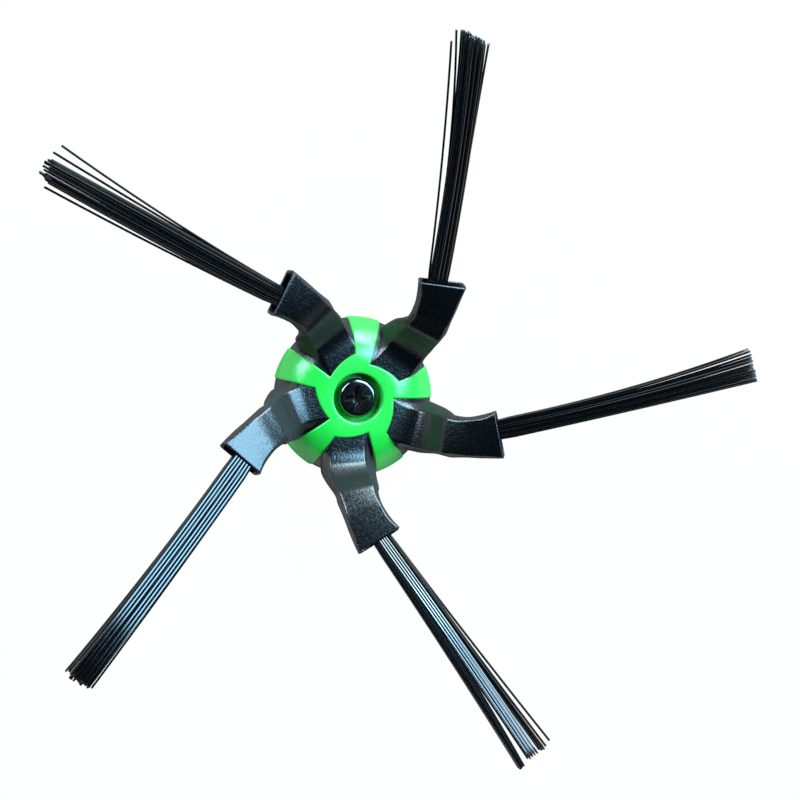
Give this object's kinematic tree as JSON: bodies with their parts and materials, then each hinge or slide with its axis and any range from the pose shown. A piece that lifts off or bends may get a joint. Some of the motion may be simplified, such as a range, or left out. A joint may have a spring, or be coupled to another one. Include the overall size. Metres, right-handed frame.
{
  "type": "robot vacuum side brush",
  "caption": "Round domed hub with swept rubber arms, a bristle tuft in the flared end of each, a square drive socket behind and a captive cross-head screw in front.",
  "frame": {"origin": "on the spin axis, in the plane of the drive boss's end, where the brush rests on a flat surface", "axes": "+Z along the spin axis towards the screw head, the side that faces the floor in use; +X is 25 degrees counter-clockwise of the fifth arm's root and 47 degrees clockwise of the first's, seen from the screw side"},
  "size_m": [0.1234, 0.1233, 0.0316],
  "materials": {
    "hub_green": "smooth, slightly glossy moulding",
    "arm_rubber": "satin, finely stippled",
    "bristle_black": "drawn nylon with a soft sheen",
    "screw_black": "black plated, glossy"
  },
  "bodies": {
    "brush": {"hub": "hub_green", "arm_1": "arm_rubber", "arm_2": "arm_rubber", "arm_3": "arm_rubber", "arm_4": "arm_rubber", "arm_5": "arm_rubber", "tuft_1": "bristle_black", "tuft_2": "bristle_black", "tuft_3": "bristle_black", "tuft_4": "bristle_black", "tuft_5": "bristle_black"},
    "screw": {"screw": "screw_black"}
  },
  "joints": [
    {"name": "screw_turn", "type": "hinge", "parent": "brush", "child": "screw", "pos_m": [0, 0, 0.0067], "axis": [0, 0, 1], "continuous": true}
  ]
}
